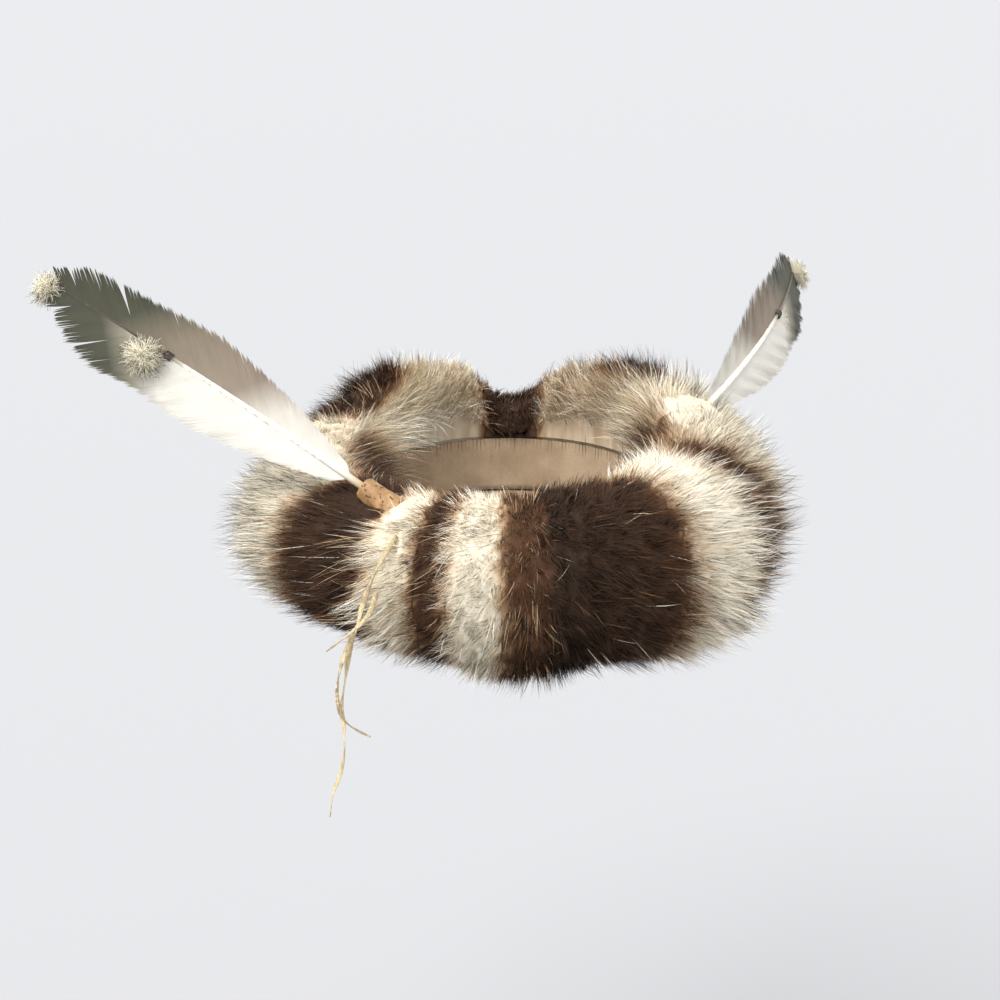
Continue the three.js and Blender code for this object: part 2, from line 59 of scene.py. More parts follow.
# ------------------------------------------------------------------------ raffia ties
# Three free ends of raffia, each a flat strand of dry palm leaf rolled between the fingers,
# so that it twists. They come out of the fur under the left socket and hang.
RAFFIA_WIDTH = 0.003
RAFFIA_COLOUR = (0.70, 0.58, 0.37)
RAFFIA_DARK = (0.36, 0.27, 0.13)
RAFFIA_SIDES = 10
RAFFIA_STEP = 0.0012                 # between two rings of the strand
RAFFIA_TIES = {
    "raffia_long": {
        "length": 0.160,
        "twists": 5,
        "route": [
            (-0.059, -0.135, 0.027), (-0.068, -0.146, 0.015), (-0.076, -0.152, -0.004),
            (-0.080, -0.153, -0.019), (-0.084, -0.152, -0.033), (-0.086, -0.151, -0.046),
            (-0.088, -0.150, -0.060), (-0.087, -0.150, -0.073), (-0.087, -0.150, -0.085),
            (-0.089, -0.150, -0.097), (-0.093, -0.150, -0.108), (-0.095, -0.150, -0.121),
        ],
    },
    "raffia_side": {
        "length": 0.066,
        "twists": 2,
        "route": [
            (-0.081, -0.157, -0.019), (-0.087, -0.156, -0.034), (-0.090, -0.155, -0.049),
            (-0.089, -0.155, -0.060), (-0.086, -0.1545, -0.067), (-0.080, -0.154, -0.072),
            (-0.073, -0.153, -0.076),
        ],
    },
    "raffia_short": {
        "length": 0.042,
        "twists": 1,
        "route": [
            (-0.069, -0.155, 0.002), (-0.073, -0.159, -0.008), (-0.081, -0.161, -0.016),
            (-0.088, -0.160, -0.022), (-0.095, -0.158, -0.028),
        ],
    },
}


class Value:
    """A number that a shader works out at each point, with Python's own operators."""

    def __init__(self, shader, socket):
        self.shader = shader
        self.socket = socket

    def math(self, operation, *others):
        return self.shader.node("ShaderNodeMath", {"operation": operation}, [self, *others])

    def __add__(self, other):
        return self.math("ADD", other)

    __radd__ = __add__

    def __sub__(self, other):
        return self.math("SUBTRACT", other)

    def __rsub__(self, other):
        return self.math("MULTIPLY", -1).math("ADD", other)

    def __mul__(self, other):
        return self.math("MULTIPLY", other)

    __rmul__ = __mul__

    def fraction(self):
        return self.math("FRACT")

    def absolute(self):
        return self.math("ABSOLUTE")

    def ramp(self, start, end):
        """Rises smoothly from 0 at start to 1 at end."""
        return self.shader.node(
            "ShaderNodeMapRange", {"interpolation_type": "SMOOTHSTEP"},
            {"Value": self, "From Min": start, "From Max": end},
        )


class Shader:
    """A material under construction: every node comes from node()."""

    def __init__(self, name):
        self.material = bpy.data.materials.new(name)
        self.material.use_nodes = True
        self.tree = self.material.node_tree
        self.principled = self.tree.nodes["Principled BSDF"]

    def set(self, node, inputs):
        named = inputs.items() if isinstance(inputs, dict) else enumerate(inputs)
        for key, value in named:
            if isinstance(value, Value):
                self.tree.links.new(value.socket, node.inputs[key])
            elif isinstance(value, tuple) and len(value) == 3 and node.inputs[key].type == "RGBA":
                node.inputs[key].default_value = (*value, 1)
            else:
                node.inputs[key].default_value = value

    def node(self, kind, settings, inputs, output=0):
        node = self.tree.nodes.new(kind)
        for key, value in settings.items():
            if key == "stops":
                self.set_stops(node.color_ramp, value)
            elif key == "steps":
                node.color_ramp.interpolation = "CONSTANT"
            else:
                setattr(node, key, value)
        self.set(node, inputs)
        return Value(self, node.outputs[output])

    def set_stops(self, color_ramp, stops):
        while len(color_ramp.elements) < len(stops):
            color_ramp.elements.new(1)
        for element, (position, colour) in zip(color_ramp.elements, stops):
            element.position = position
            element.color = (*colour, 1)

    def object_point(self):
        return self.node("ShaderNodeTexCoord", {}, {}, "Object")

    def uv(self, name):
        """The two coordinates of a UV map."""
        point = self.node("ShaderNodeUVMap", {"uv_map": name}, {})
        across = self.node("ShaderNodeSeparateXYZ", {}, [point], "X")
        along = self.node("ShaderNodeSeparateXYZ", {}, [point], "Y")
        return across, along

    def noise(self, point, scale, detail=3.0, roughness=0.5):
        return self.node(
            "ShaderNodeTexNoise", {},
            {"Vector": point, "Scale": scale, "Detail": detail, "Roughness": roughness},
        )

    def stretched(self, point, scale):
        return self.node("ShaderNodeMapping", {}, {"Vector": point, "Scale": scale})

    def joined(self, x, y, z=0.0):
        return self.node("ShaderNodeCombineXYZ", {}, {"X": x, "Y": y, "Z": z})

    def mix(self, share, first, second):
        """A colour between two colours."""
        return self.node(
            "ShaderNodeMix", {"data_type": "RGBA"}, {0: share, 6: first, 7: second}, 2)

    def scaled(self, colour, share):
        """A colour made lighter or darker by a number."""
        return self.node("ShaderNodeVectorMath", {"operation": "SCALE"},
                         {"Vector": colour, "Scale": share})

    def bump(self, height, distance):
        return self.node("ShaderNodeBump", {}, {"Height": height, "Distance": distance})

    def colours_at(self, place, stops, **settings):
        """The colour at a place along a row of stops."""
        return self.node("ShaderNodeValToRGB", {"stops": stops, **settings}, {"Fac": place})

    def finish(self, **inputs):
        """Feeds the surface: an underscore in a name stands for a space."""
        self.set(self.principled, {key.replace("_", " "): v for key, v in inputs.items()})
        return self.material


def table(columns, rows):
    """Rows of numbers with a name for each column."""
    return [dict(zip(columns.split(), row)) for row in rows]


def add_piece(name, mesh, material, slot, *nodes):
    """A finished mesh becomes a piece that rides on the headdress."""
    mesh.materials.clear()
    mesh.materials.append(material)
    piece = bpy.data.objects.new(name, mesh)
    bpy.context.scene.collection.objects.link(piece)
    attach(piece, "root")
    if nodes:
        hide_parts(*nodes)
    return piece


def take_in(bm, mesh):
    """Joins a mesh to the bmesh, and removes it."""
    bm.from_mesh(mesh)
    bpy.data.meshes.remove(mesh)


def mesh_from(name, bm):
    """The bmesh as a smooth mesh, freed afterwards."""
    mesh = bpy.data.meshes.new(name)
    for face in bm.faces:
        face.smooth = True
    bm.to_mesh(mesh)
    bm.free()
    return mesh


def smooth_route(points, step):
    """A curve through the points, as close points about a step apart."""
    points = [Vector(p) for p in points]
    ends = [2 * points[0] - points[1], *points, 2 * points[-1] - points[-2]]
    route = []
    for before, start, end, after in zip(ends, ends[1:], ends[2:], ends[3:]):
        count = max(2, round((end - start).length / step))
        for i in range(count):
            t = i / count
            route.append(0.5 * (
                2 * start + (end - before) * t
                + (2 * before - 5 * start + 4 * end - after) * t ** 2
                + (3 * start - before - 3 * end + after) * t ** 3
            ))
    return [*route, points[-1]]


def ring_places(route, half_sizes, turns):
    """For each point of a route, the matrix that puts a unit circle round it."""
    places = []
    side = (route[1] - route[0]).orthogonal().normalized()
    for i, point in enumerate(route):
        ahead = (route[min(i + 1, len(route) - 1)] - route[max(i - 1, 0)]).normalized()
        side = (side - side.dot(ahead) * ahead).normalized()
        frame_here = Matrix((side, ahead.cross(side), ahead)).transposed().to_4x4()
        width, depth = half_sizes(i / (len(route) - 1))
        places.append(
            Matrix.Translation(point) @ frame_here
            @ Matrix.Rotation(turns * 2 * math.pi * i / (len(route) - 1), 4, "Z")
            @ Matrix.Diagonal((width, depth, 1, 1))
        )
    return places


def add_strand(bm, places, sides):
    """A tube: a circle extruded from each place to the next."""
    circle = bmesh.ops.create_circle(bm, cap_ends=True, segments=sides, radius=1)
    bmesh.ops.transform(bm, matrix=places[0], verts=circle["verts"])
    verts = circle["verts"]
    face = verts[0].link_faces[0]
    for here, there in zip(places, places[1:]):
        made = bmesh.ops.extrude_face_region(bm, geom=[face])["geom"]
        face = next(f for f in made if isinstance(f, bmesh.types.BMFace))
        bmesh.ops.transform(bm, matrix=there @ here.inverted(), verts=face.verts[:])
    bmesh.ops.recalc_face_normals(bm, faces=bm.faces)


def straw_material():
    shader = Shader("raffia")
    point = shader.object_point()
    fibre = shader.noise(shader.stretched(point, (2600, 2600, 160)), 1, 4)
    stain = shader.noise(point, 55, 3)
    colour = shader.mix(fibre.ramp(0.35, 0.7), RAFFIA_DARK, RAFFIA_COLOUR)
    colour = shader.mix(stain.ramp(0.62, 0.78) * 0.6, colour, (0.16, 0.12, 0.06))
    return shader.finish(
        Base_Color=colour, Roughness=0.6,
        Normal=shader.bump(fibre + shader.noise(point, 700, 2), 0.0003),
    )


raffia_material = straw_material()
for name, tie in RAFFIA_TIES.items():
    route = smooth_route(tie["route"], RAFFIA_STEP)

    def half_sizes(share):
        taper = 1 - 0.4 * share - 0.25 * max(0, share - 0.93) / 0.07
        pinch = 1 + 0.12 * math.sin(31 * share) + 0.08 * math.sin(57 * share + 1)
        half = RAFFIA_WIDTH / 2 * taper * pinch
        return half, half * 0.42

    bm = bmesh.new()
    add_strand(bm, ring_places(route, half_sizes, tie["twists"] / 2), RAFFIA_SIDES)
    piece = add_piece(name + "_strand", mesh_from(name, bm), raffia_material, "raffia", name)

# -------------------------------------------------------------------------- hide band
# A strip of pelt hide folded double along its top edge and bent into the ring that sits on
# the head. Its skin side shows inside the opening, tanned and a little puckered; its colour is
# set darker than the tanned hide's own, as painted shade inside the opening.
OPENING_HALF_WIDTH = 0.086
OPENING_HALF_DEPTH = 0.098
BAND_THICKNESS = 0.0076
BAND_HALF_HEIGHT = 0.025
BAND_MIDDLE = 0.0025
BAND_BACK_RISE = 0.0075
BAND_SQUARENESS = 3
HIDE_WALL = 0.002
HIDE_EDGES = (-147, 207)             # of the section, in degrees from outwards, up positive
BAND_SECTION_STEPS = 40
BAND_RING_STEPS = 180
PUCKER = 0.0006
# The hide's tan, darkened as painted shade for the inside of the opening.
HIDE_TAN_WITH_PAINTED_SHADE = (0.40, 0.29, 0.185)
HIDE_DARK = (0.26, 0.18, 0.105)


def on_outline(section, squareness, middle, half_sizes):
    """A rounded outline in the ring's section: distance outwards, and height."""
    c = np.cos(np.radians(section))
    s = np.sin(np.radians(section))
    outwards, inwards, half_height = half_sizes
    return (
        middle[0] + np.where(c > 0, outwards, inwards)
        * np.sign(c) * np.abs(c) ** (2 / squareness),
        middle[1] + half_height * np.sign(s) * np.abs(s) ** (2 / squareness),
    )


def ring_point(ring, out, height):
    """Points by their direction round the ring, distance from the opening, and height."""
    angle = np.radians(ring)
    return np.stack([
        (OPENING_HALF_WIDTH + out) * np.cos(angle),
        (OPENING_HALF_DEPTH + out) * np.sin(angle),
        height + 0 * angle,
    ], axis=-1)


def band_outline(ring, section, margin=0.0):
    middle = (BAND_THICKNESS / 2, BAND_MIDDLE + BAND_BACK_RISE * np.sin(np.radians(ring)))
    half = BAND_THICKNESS / 2 + margin
    return on_outline(section, BAND_SQUARENESS, middle, (half, half, BAND_HALF_HEIGHT + margin))


def hide_material():
    shader = Shader("hide")
    point = shader.object_point()
    blotch = shader.noise(point, 38, 4)
    grain = shader.noise(point, 900, 3, 0.65)
    crease = shader.noise(shader.stretched(point, (60, 60, 14)), 3, 4)
    colour = shader.mix(blotch.ramp(0.3, 0.75), HIDE_DARK, HIDE_TAN_WITH_PAINTED_SHADE)
    colour = shader.scaled(colour, 0.82 + grain * 0.36)
    return shader.finish(
        Base_Color=colour, Roughness=0.88,
        Normal=shader.bump(grain * 0.35 + crease, 0.0011),
    )


def band_mesh():
    angles = np.linspace(*HIDE_EDGES, BAND_SECTION_STEPS)
    outside = band_outline(0, angles)
    inside = band_outline(0, angles, -HIDE_WALL)
    bm = bmesh.new()
    for out, height in [*zip(*outside), *reversed([*zip(*inside)])]:
        bm.verts.new((OPENING_HALF_WIDTH + out, 0, height))
    bm.verts.ensure_lookup_table()
    count = len(bm.verts)
    rim = [bm.edges.new((bm.verts[i], bm.verts[(i + 1) % count])) for i in range(count)]
    bmesh.ops.spin(
        bm, geom=[*bm.verts, *rim], axis=(0, 0, 1), cent=(0, 0, 0), angle=2 * math.pi,
        steps=BAND_RING_STEPS, use_merge=True,
    )
    bmesh.ops.remove_doubles(bm, verts=bm.verts, dist=1e-6)
    for vert in bm.verts:
        angle = math.atan2(vert.co.y, vert.co.x)
        pucker = PUCKER * math.sin(61 * angle + 2 * math.sin(9 * angle))
        out = math.hypot(vert.co.x, vert.co.y) - OPENING_HALF_WIDTH
        fold = pucker * math.sin(math.pi * (vert.co.z / BAND_HALF_HEIGHT - 0.2)) * 0.5
        vert.co.x = (OPENING_HALF_WIDTH + out + fold) * math.cos(angle)
        vert.co.y = (OPENING_HALF_DEPTH + out + fold) * math.sin(angle)
        vert.co.z += BAND_BACK_RISE * math.sin(angle)
    bmesh.ops.recalc_face_normals(bm, faces=bm.faces)
    return mesh_from("hide_band", bm)


add_piece("hide_band_folded", band_mesh(), hide_material(), "hide", "hide_band")

# -------------------------------------------------------------- places of the feathers
# Each feather stands in a socket among the fur, and bows a little backwards. Sockets, vanes,
# shafts, down and thread all lie along this line, and the fur parts round the sockets.
SOCKET_OVER_QUILL = 0.015
FEATHER_LENGTH = 0.2
FEATHER_BOW = 0.013
VANE_CUP = 2.2                       # depth of the vane's hollow, per metre of width squared
FEATHERS = {
    "left": {"mouth": (-0.077, -0.096, 0.043), "tip": (-0.238, -0.084, 0.149),
             "front": (0, -1, 0.1)},
    "right": {"mouth": (0.108, 0.038, 0.054), "tip": (0.178, 0.213, 0.109),
              "front": (-0.82, 0.5, -0.3)},
}


def unit(vectors):
    return vectors / np.linalg.norm(vectors, axis=-1, keepdims=True)


class FeatherFrame:
    """Places on a feather: along it from the socket's mouth, out to a vane, and in front."""

    def __init__(self, mouth, tip, front):
        self.mouth = np.array(mouth)
        self.x = unit(np.array(tip) - self.mouth)
        front = np.array(front)
        self.z = unit(front - front.dot(self.x) * self.x)
        self.y = np.cross(self.z, self.x)
        if self.y[2] < 0:
            self.y = -self.y

    def point(self, along, out, front):
        share = along / FEATHER_LENGTH
        front = front - 4 * FEATHER_BOW * share * (1 - share) + VANE_CUP * out * out
        return self.mouth + sum(
            np.multiply.outer(value, axis)
            for value, axis in ((along, self.x), (out, self.y), (front, self.z)))

    def socket_place(self):
        """Turns the socket's own axis, +Z into the bone, and moves it to the mouth."""
        inwards = Vector(self.point(-SOCKET_OVER_QUILL, 0.0, 0.0) - self.mouth)
        turn = inwards.to_track_quat("Z", "Y").to_matrix().to_4x4()
        return Matrix.Translation(self.mouth) @ turn


feathers = {side: FeatherFrame(**form) for side, form in FEATHERS.items()}

# -------------------------------------------------------------------------------- fur
# Strips of long-haired pelt, sewn edge to edge round the band: dense soft underfur, and over
# it longer guard hairs that gather in locks and stand out past it, many with dark tips.
FUR_FROM = -117.5                    # the hair's two edges in the section, in degrees
FUR_TO = 148
FUR_MIDDLE = 0.012
FUR_INSIDE = 0.009
FUR_SQUARENESS = 2.3
# The hair tips' heights and reach out from the opening, by direction in degrees, and how
# far the loosest hair falls in over the opening.
FUR_FORM = table("at top bottom reach in", [
    (0, 0.058, -0.042, 0.070, 0.028),
    (22, 0.072, -0.042, 0.070, 0.032),
    (47, 0.080, -0.045, 0.068, 0.030),
    (68, 0.072, -0.045, 0.066, 0.016),
    (90, 0.050, -0.045, 0.064, 0.002),
    (110, 0.074, -0.045, 0.066, 0.018),
    (130, 0.078, -0.044, 0.068, 0.034),
    (152, 0.058, -0.042, 0.069, 0.038),
    (180, 0.042, -0.039, 0.070, 0.034),
    (212, 0.042, -0.036, 0.068, 0.020),
    (245, 0.043, -0.046, 0.067, 0.006),
    (270, 0.045, -0.057, 0.069, 0.005),
    (295, 0.048, -0.050, 0.069, 0.008),
    (333, 0.054, -0.060, 0.070, 0.020),
])
# Kinds of hair: the colour at the root and at the tip, and where along it the tip's begins.
HAIR = {
    "cream": {"root": (0.72, 0.62, 0.45), "tip": (0.88, 0.81, 0.66), "change": (0.3,) * 3},
    "white": {"root": (0.80, 0.72, 0.57), "tip": (0.93, 0.89, 0.80), "change": (0.3,) * 3},
    "dark_tip": {"root": (0.80, 0.71, 0.54), "tip": (0.050, 0.034, 0.024), "change": (0.72,) * 3},
    "brown": {"root": (0.020, 0.011, 0.006), "tip": (0.058, 0.032, 0.018), "change": (0.6,) * 3},
    "rust": {"root": (0.060, 0.027, 0.012), "tip": (0.21, 0.098, 0.044), "change": (0.4,) * 3},
    "tan": {"root": (0.30, 0.17, 0.08), "tip": (0.60, 0.42, 0.25), "change": (0.4,) * 3},
    "black": {"root": (0.022, 0.014, 0.010), "tip": (0.012, 0.009, 0.007), "change": (0.5,) * 3},
    "down": {"root": (0.80, 0.69, 0.44), "tip": (0.86, 0.79, 0.60), "change": (0.3,) * 3},
}
HAIR_KINDS = list(HAIR)
COAT_COLUMNS = len(HAIR_KINDS) + 1   # on the map: one a kind, and the last for underfur
# The underfur's own tones run from black through brown, rust and tan to cream and white.
UNDERFUR_TONES = [
    (0.0, (0.010, 0.007, 0.005)),
    (0.25, (0.040, 0.021, 0.012)),
    (0.42, (0.105, 0.048, 0.023)),
    (0.60, (0.46, 0.29, 0.155)),
    (0.80, (0.84, 0.74, 0.56)),
    (1.0, (0.93, 0.87, 0.74)),
]
# Strips of pelt round the ring, each up to the next one's edge, and the degrees round the
# ring that the hair tips lean.
PELTS = table("name from slot lean", [
    ("fur_right_cream", 349, "cream_fur", 4),
    ("fur_back_right_cream", 12, "cream_fur", 3),
    ("fur_back_right_brown", 35, "brown_fur", 3),
    ("fur_back_right_grey", 54, "grey_fur", 4),
    ("fur_back_brown", 79, "brown_fur", 0),
    ("fur_back_left_cream", 100, "cream_fur", -4),
    ("fur_back_left_brown", 120, "brown_fur", 2),
    ("fur_left_cream", 158, "grey_fur", -3),
    ("fur_front_left_brown", 211, "brown_fur", -4),
    ("fur_front_cream_stripe", 237, "cream_fur", -3),
    ("fur_front_dark_stripe", 249, "brown_fur", -3),
    ("fur_front_cream", 256, "cream_fur", -3),
    ("fur_front_brown", 268, "brown_fur", 1),
    ("fur_front_right_cream", 311, "cream_fur", 6),
    ("fur_right_brown", 333, "brown_fur", 6),
])
# Colour of the coat by direction: the underfur's tone on the outer side and on the inner
# side, and how many of the pale guard hairs there have dark tips. From 58 to 103 degrees the
# pale strips' inner tones are set lower than their outer ones, as painted shade inside the opening.
COAT_TONES = table("at outer inner dark_tips", [
    (0, 0.82, 0.32, 0.35),
    (10, 0.82, 0.32, 0.3),
    (18, 0.82, 0.78, 0.2),
    (33, 0.82, 0.78, 0.3),
    (38, 0.28, 0.72, 0.4),
    (51, 0.27, 0.68, 0.4),
    (58, 0.74, 0.69, 0.4),
    (76, 0.76, 0.69, 0.4),
    (81, 0.30, 0.30, 0.4),
    (98, 0.30, 0.30, 0.3),
    (103, 0.78, 0.70, 0.2),
    (127, 0.80, 0.80, 0.2),
    (134, 0.30, 0.80, 0.3),
    (153, 0.28, 0.82, 0.3),
    (160, 0.78, 0.82, 0.4),
    (172, 0.83, 0.34, 0.6),
    (207, 0.86, 0.30, 0.45),
    (211, 0.58, 0.28, 0.3),
    (216, 0.30, 0.28, 0.2),
    (234, 0.24, 0.28, 0.1),
    (239, 0.80, 0.40, 0.1),
    (246, 0.86, 0.60, 0.1),
    (250, 0.34, 0.34, 0.1),
    (254, 0.30, 0.45, 0.1),
    (258, 0.84, 0.80, 0.05),
    (266, 0.92, 0.78, 0.05),
    (269, 0.46, 0.40, 0.1),
    (277, 0.38, 0.32, 0.1),
    (281, 0.20, 0.14, 0.1),
    (290, 0.27, 0.14, 0.1),
    (304, 0.29, 0.60, 0.3),
    (309, 0.40, 0.76, 0.3),
    (314, 0.82, 0.78, 0.1),
    (322, 0.93, 0.78, 0.1),
    (331, 0.84, 0.78, 0.35),
    (336, 0.34, 0.78, 0.5),
    (345, 0.30, 0.60, 0.5),
    (351, 0.80, 0.32, 0.4),
])
INNER_SIDE = (82, 108)               # section angles over which the inner tones take over
LONGEST_SHARE = 1.22                 # no hair reaches further past the ordinary tips
EDGE_BLUR = 0.7                      # degrees that hair strays over a change of colour
COAT_MAP = "OFBake"                  # UV map: kind of hair across, root to tip along
UNDERFUR_A_DEGREE = 400
GUARD_HAIRS_A_DEGREE = 100
OVERHANG_SECTIONS = (50, 118)        # section angles between which hair begins to reach in
HAIR_ON_MAP = 0.008                  # width of a hair there
TONE_MARGIN = 0.06                   # of a column there, left at each side
DEGREE_ROUND = 0.0027                # metres round the ring to a degree
COAT_OVER = 0.2                      # metres over the coat, edge to edge
MM_ROUND = 2.6                       # to a degree, when a hair looks for its nearest lock
MM_OVER = 0.72
REACH_SWELL = 0.05
BEND_TURN = 0.2                      # share of its lean that a hair has where it bends
BEND_AT = 0.6                        # share of its length there
BEND_IN = 0.35                       # share of its fall inwards there
HAIR_TAPER = 0.45
SKIN_SHARE = 0.80                    # height of the underfur's matted body
SKIN_ROWS = 46
SKIN_STEP = 1.5                      # degrees round the ring
COAT_DEPTH = 0.03                    # how far out from the opening its middle lies


def fur_form(ring):
    """Top, bottom, reach and fall inwards of the hair tips at each direction."""
    at = np.array([row["at"] for row in FUR_FORM] + [360])
    turn = np.mod(ring, 360)
    after = np.searchsorted(at, turn, side="right")
    share = (turn - at[after - 1]) / (at[after] - at[after - 1])
    ease = share * share * (3 - 2 * share)
    found = []
    for key in ("top", "bottom", "reach", "in"):
        values = np.array([row[key] for row in FUR_FORM] + [FUR_FORM[0][key]])
        found.append(values[after - 1] * (1 - ease) + values[after] * ease)
    return found


def fur_point(ring, section, share):
    """A point of the coat: share 0 is at the hide and 1 at the ordinary hair's tips."""
    top, bottom, reach, _ = fur_form(ring)
    root = band_outline(ring, section)
    tip = on_outline(
        section, FUR_SQUARENESS, (FUR_MIDDLE, (top + bottom) / 2),
        (reach - FUR_MIDDLE, FUR_MIDDLE + FUR_INSIDE, (top - bottom) / 2),
    )
    return ring_point(ring, *(a + share * (b - a) for a, b in zip(root, tip)))


def rows_by_tip_length(count):
    """Places over the section, spread evenly along the hair tips' outline."""
    section = np.linspace(FUR_FROM, FUR_TO, 400)
    tips = fur_point(np.full(section.shape, 250.0), section, 1.0)
    length = np.concatenate([[0], np.cumsum(np.linalg.norm(np.diff(tips, axis=0), axis=1))])
    return np.interp(count * length[-1], length, section)


def swell(ring, section, seed):
    """Slow soft variation over the coat, from about -1 to 1."""
    a = np.radians(ring) * 150
    b = np.radians(section) * 45
    return (
        np.sin(a * 0.11 + 1.3 * np.sin(b * 0.09 + seed) + seed)
        + np.sin(b * 0.23 + 1.7 * np.sin(a * 0.07 - seed) + 2 * seed)
        + np.sin(a * 0.31 + b * 0.27 + 3 * seed)
    ) / 3


def coat_tones(ring, section):
    """The underfur's tone and the share of dark tips at each place."""
    at = [row["at"] for row in COAT_TONES]
    outer, inner, dark_tips = (
        np.interp(ring, at, [row[key] for row in COAT_TONES], period=360)
        for key in ("outer", "inner", "dark_tips"))
    turn = np.interp(section, INNER_SIDE, (0, 1))
    return outer + turn * (inner - outer), dark_tips


def guard_kinds(ring, section, draw):
    """The kind of each guard hair: by the tone under it, as an index into HAIR_KINDS."""
    tone, dark_tips = coat_tones(ring + draw.normal(0, EDGE_BLUR, ring.shape), section)
    pick = draw.random(ring.shape)
    other = draw.random(ring.shape)
    pale = np.where(pick < dark_tips, "dark_tip", np.where(other < 0.35, "white", "cream"))
    dark = np.select([pick < 0.16, pick < 0.24, pick < 0.26], ["black", "rust", "cream"], "brown")
    edge = np.select([pick < 0.35, pick < 0.65], ["tan", "rust"], "dark_tip")
    names = np.where(tone < 0.36, dark, np.where(tone < 0.66, edge, pale))
    return np.array([HAIR_KINDS.index(name) for name in names])


def lean_at(ring):
    """How far hair tips lean round the ring, in degrees."""
    order = sorted(PELTS, key=lambda row: row["from"])
    places = [row["from"] + 10 for row in order]
    leans = [row["lean"] for row in order]
    return np.interp(ring, places, leans, period=360)


def strands_mesh(name, points, widths, sides, across, along, map_width):
    """Flat hairs or barbs as one mesh. Points are by hair and level, the last one the tip."""
    hairs, levels = points.shape[:2]
    last = levels - 1
    half = sides * widths[:, :last, None] / 2
    pairs = np.stack([points[:, :last] - half, points[:, :last] + half], axis=2)
    verts = np.concatenate([pairs.reshape(hairs, 2 * last, 3), points[:, last:]], axis=1)
    quads = [corner for i in range(last - 1) for corner in (2 * i, 2 * i + 1, 2 * i + 3, 2 * i + 2)]
    corners = np.array([*quads, 2 * last - 2, 2 * last - 1, 2 * last])
    loops = (np.arange(hairs)[:, None] * verts.shape[1] + corners[None]).ravel()
    sizes = np.tile([4] * (last - 1) + [3], hairs)
    offset = map_width / 2 * np.where(corners % 2, 1, -1) * (corners < 2 * last)
    places = np.stack([across[:, corners // 2] + offset[None], along[:, corners // 2]], axis=-1)
    mesh = bpy.data.meshes.new(name)
    mesh.vertices.add(hairs * verts.shape[1])
    mesh.vertices.foreach_set("co", verts.astype(np.float32).ravel())
    mesh.loops.add(len(loops))
    mesh.loops.foreach_set("vertex_index", loops.astype(np.int32))
    mesh.polygons.add(len(sizes))
    starts = np.concatenate([[0], np.cumsum(sizes)[:-1]])
    mesh.polygons.foreach_set("loop_start", starts.astype(np.int32))
    uv = mesh.uv_layers.new(name=COAT_MAP)
    mesh.update(calc_edges=True)
    uv.data.foreach_set("uv", places.astype(np.float32).ravel())
    mesh.polygons.foreach_set("use_smooth", np.ones(len(sizes), bool))
    return mesh


def kind_across(kinds, draw):
    """Where each hair lies across the map: in its kind's column, by its tone."""
    return (kinds + 0.12 + 0.76 * draw.random(kinds.shape)) / COAT_COLUMNS


def tone_across(ring, section, draw):
    """Where underfur lies across the map: in the last column, by its tone there."""
    tone, _ = coat_tones(ring + draw.normal(0, EDGE_BLUR, ring.shape), section)
    tone = tone + 0.035 * swell(ring, section, 4.0) + draw.normal(0, 0.015, ring.shape)
    place = TONE_MARGIN + (1 - 2 * TONE_MARGIN) * np.clip(tone, 0, 1)
    return (len(HAIR_KINDS) + place) / COAT_COLUMNS


